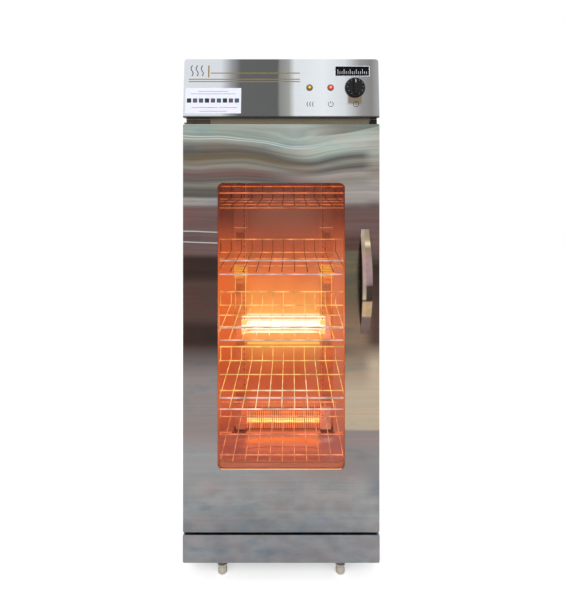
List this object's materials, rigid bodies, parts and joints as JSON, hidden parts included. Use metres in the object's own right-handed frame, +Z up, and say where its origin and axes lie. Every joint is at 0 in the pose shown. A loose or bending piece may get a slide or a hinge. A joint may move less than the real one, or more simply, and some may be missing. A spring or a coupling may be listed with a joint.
{
  "type": "dish sterilizer cabinet",
  "caption": "Tall stainless cabinet on levelling feet with a glazed hinged door, wire dish racks, infrared quartz heaters on the back wall, a drip tray and a leaning control panel.",
  "frame": {"origin": "on the floor, under the middle of the whole object's box", "axes": "+X to the right seen from the front, +Y to the back, +Z up; the door faces -Y"},
  "size_m": [0.65, 0.59, 1.73],
  "materials": {
    "stainless": "fine satin grain",
    "polished_stainless": "polished, with broad soft reflections",
    "galvanised": "dull zinc",
    "lining": "bright satin",
    "reflector": "bright rolled",
    "wool": "mineral wool",
    "door_glass": "clear",
    "gasket": "matt",
    "quartz": "clear quartz",
    "heating_wire": "glowing when on",
    "ceramic": "white ceramic",
    "rack_wire": "bright plated",
    "black_plastic": "black",
    "lamp_ring": "plated",
    "amber_lens": "translucent amber",
    "red_lens": "translucent red",
    "cutout": "dark moulding",
    "foot_metal": "nickel plated"
  },
  "bodies": {
    "cabinet": {"side_panel_left": "stainless", "side_panel_right": "stainless", "plinth_panel": "stainless", "front_frame": "stainless", "header_panel": "stainless", "hinge_bracket_top": "stainless", "hinge_bracket_bottom": "stainless", "door_catch": "stainless", "back_panel": "galvanised", "top_panel": "galvanised", "base_pan": "galvanised", "deck": "galvanised", "liner_left": "lining", "liner_right": "lining", "liner_back": "lining", "liner_ceiling": "lining", "liner_floor": "lining", "back_uprights": "lining", "side_uprights": "lining", "back_clips": "lining", "side_clips": "lining", "reflector_upper": "reflector", "reflector_lower": "reflector", "insulation": "wool", "quartz_tubes_upper": "quartz", "quartz_tubes_lower": "quartz", "filaments_upper": "heating_wire", "filaments_lower": "heating_wire", "tube_caps_upper": "ceramic", "tube_caps_lower": "ceramic", "terminal_block": "ceramic", "timer_body": "black_plastic", "cord_gland": "black_plastic", "lamp_bezels": "lamp_ring", "lamp_lens_amber": "amber_lens", "lamp_lens_red": "red_lens", "thermal_cutout": "cutout"},
    "door": {"door_skin": "polished_stainless", "door_liner": "lining", "door_glass": "door_glass", "glass_gasket": "gasket", "door_insulation": "wool", "door_seal": "gasket", "hinge_bushes": "black_plastic", "door_handle": "polished_stainless"},
    "timer_knob": {"timer_knob": "black_plastic"},
    "drip_tray": {"drip_tray": "lining"},
    "rack_1": {"rack_1": "rack_wire"},
    "rack_2": {"rack_2": "rack_wire"},
    "rack_3": {"rack_3": "rack_wire"},
    "rack_4": {"rack_4": "rack_wire"},
    "rack_5": {"rack_5": "rack_wire"},
    "foot_front_left": {"foot_front_left": "foot_metal"},
    "foot_front_right": {"foot_front_right": "foot_metal"},
    "foot_back_left": {"foot_back_left": "foot_metal"},
    "foot_back_right": {"foot_back_right": "foot_metal"}
  },
  "joints": [
    {"name": "door_swing", "type": "hinge", "parent": "cabinet", "child": "door", "pos_m": [-0.309, -0.23, 0.836], "axis": [0, 0, -1], "range_deg": [0, 115]},
    {"name": "timer_knob_turn", "type": "hinge", "parent": "cabinet", "child": "timer_knob", "pos_m": [0.245, -0.23944, 1.63245], "axis": [0, -0.9945, 0.1045], "range_deg": [0, 300]},
    {"name": "rack_1_lift", "type": "slide", "parent": "cabinet", "child": "rack_1", "axis": [0, 0, 1], "range_m": [0, 0.02]},
    {"name": "rack_2_lift", "type": "slide", "parent": "cabinet", "child": "rack_2", "axis": [0, 0, 1], "range_m": [0, 0.02]},
    {"name": "rack_3_lift", "type": "slide", "parent": "cabinet", "child": "rack_3", "axis": [0, 0, 1], "range_m": [0, 0.02]},
    {"name": "rack_4_lift", "type": "slide", "parent": "cabinet", "child": "rack_4", "axis": [0, 0, 1], "range_m": [0, 0.02]},
    {"name": "rack_5_lift", "type": "slide", "parent": "cabinet", "child": "rack_5", "axis": [0, 0, 1], "range_m": [0, 0.02]},
    {"name": "drip_tray_lift", "type": "slide", "parent": "cabinet", "child": "drip_tray", "axis": [0, 0, 1], "range_m": [0, 0.03]},
    {"name": "foot_front_left_turn", "type": "hinge", "parent": "cabinet", "child": "foot_front_left", "pos_m": [-0.199, -0.212, 0.03], "axis": [0, 0, 1], "continuous": true},
    {"name": "foot_front_right_turn", "type": "hinge", "parent": "cabinet", "child": "foot_front_right", "pos_m": [0.199, -0.212, 0.03], "axis": [0, 0, 1], "continuous": true},
    {"name": "foot_back_left_turn", "type": "hinge", "parent": "cabinet", "child": "foot_back_left", "pos_m": [-0.199, 0.235, 0.03], "axis": [0, 0, 1], "continuous": true},
    {"name": "foot_back_right_turn", "type": "hinge", "parent": "cabinet", "child": "foot_back_right", "pos_m": [0.199, 0.235, 0.03], "axis": [0, 0, 1], "continuous": true}
  ]
}
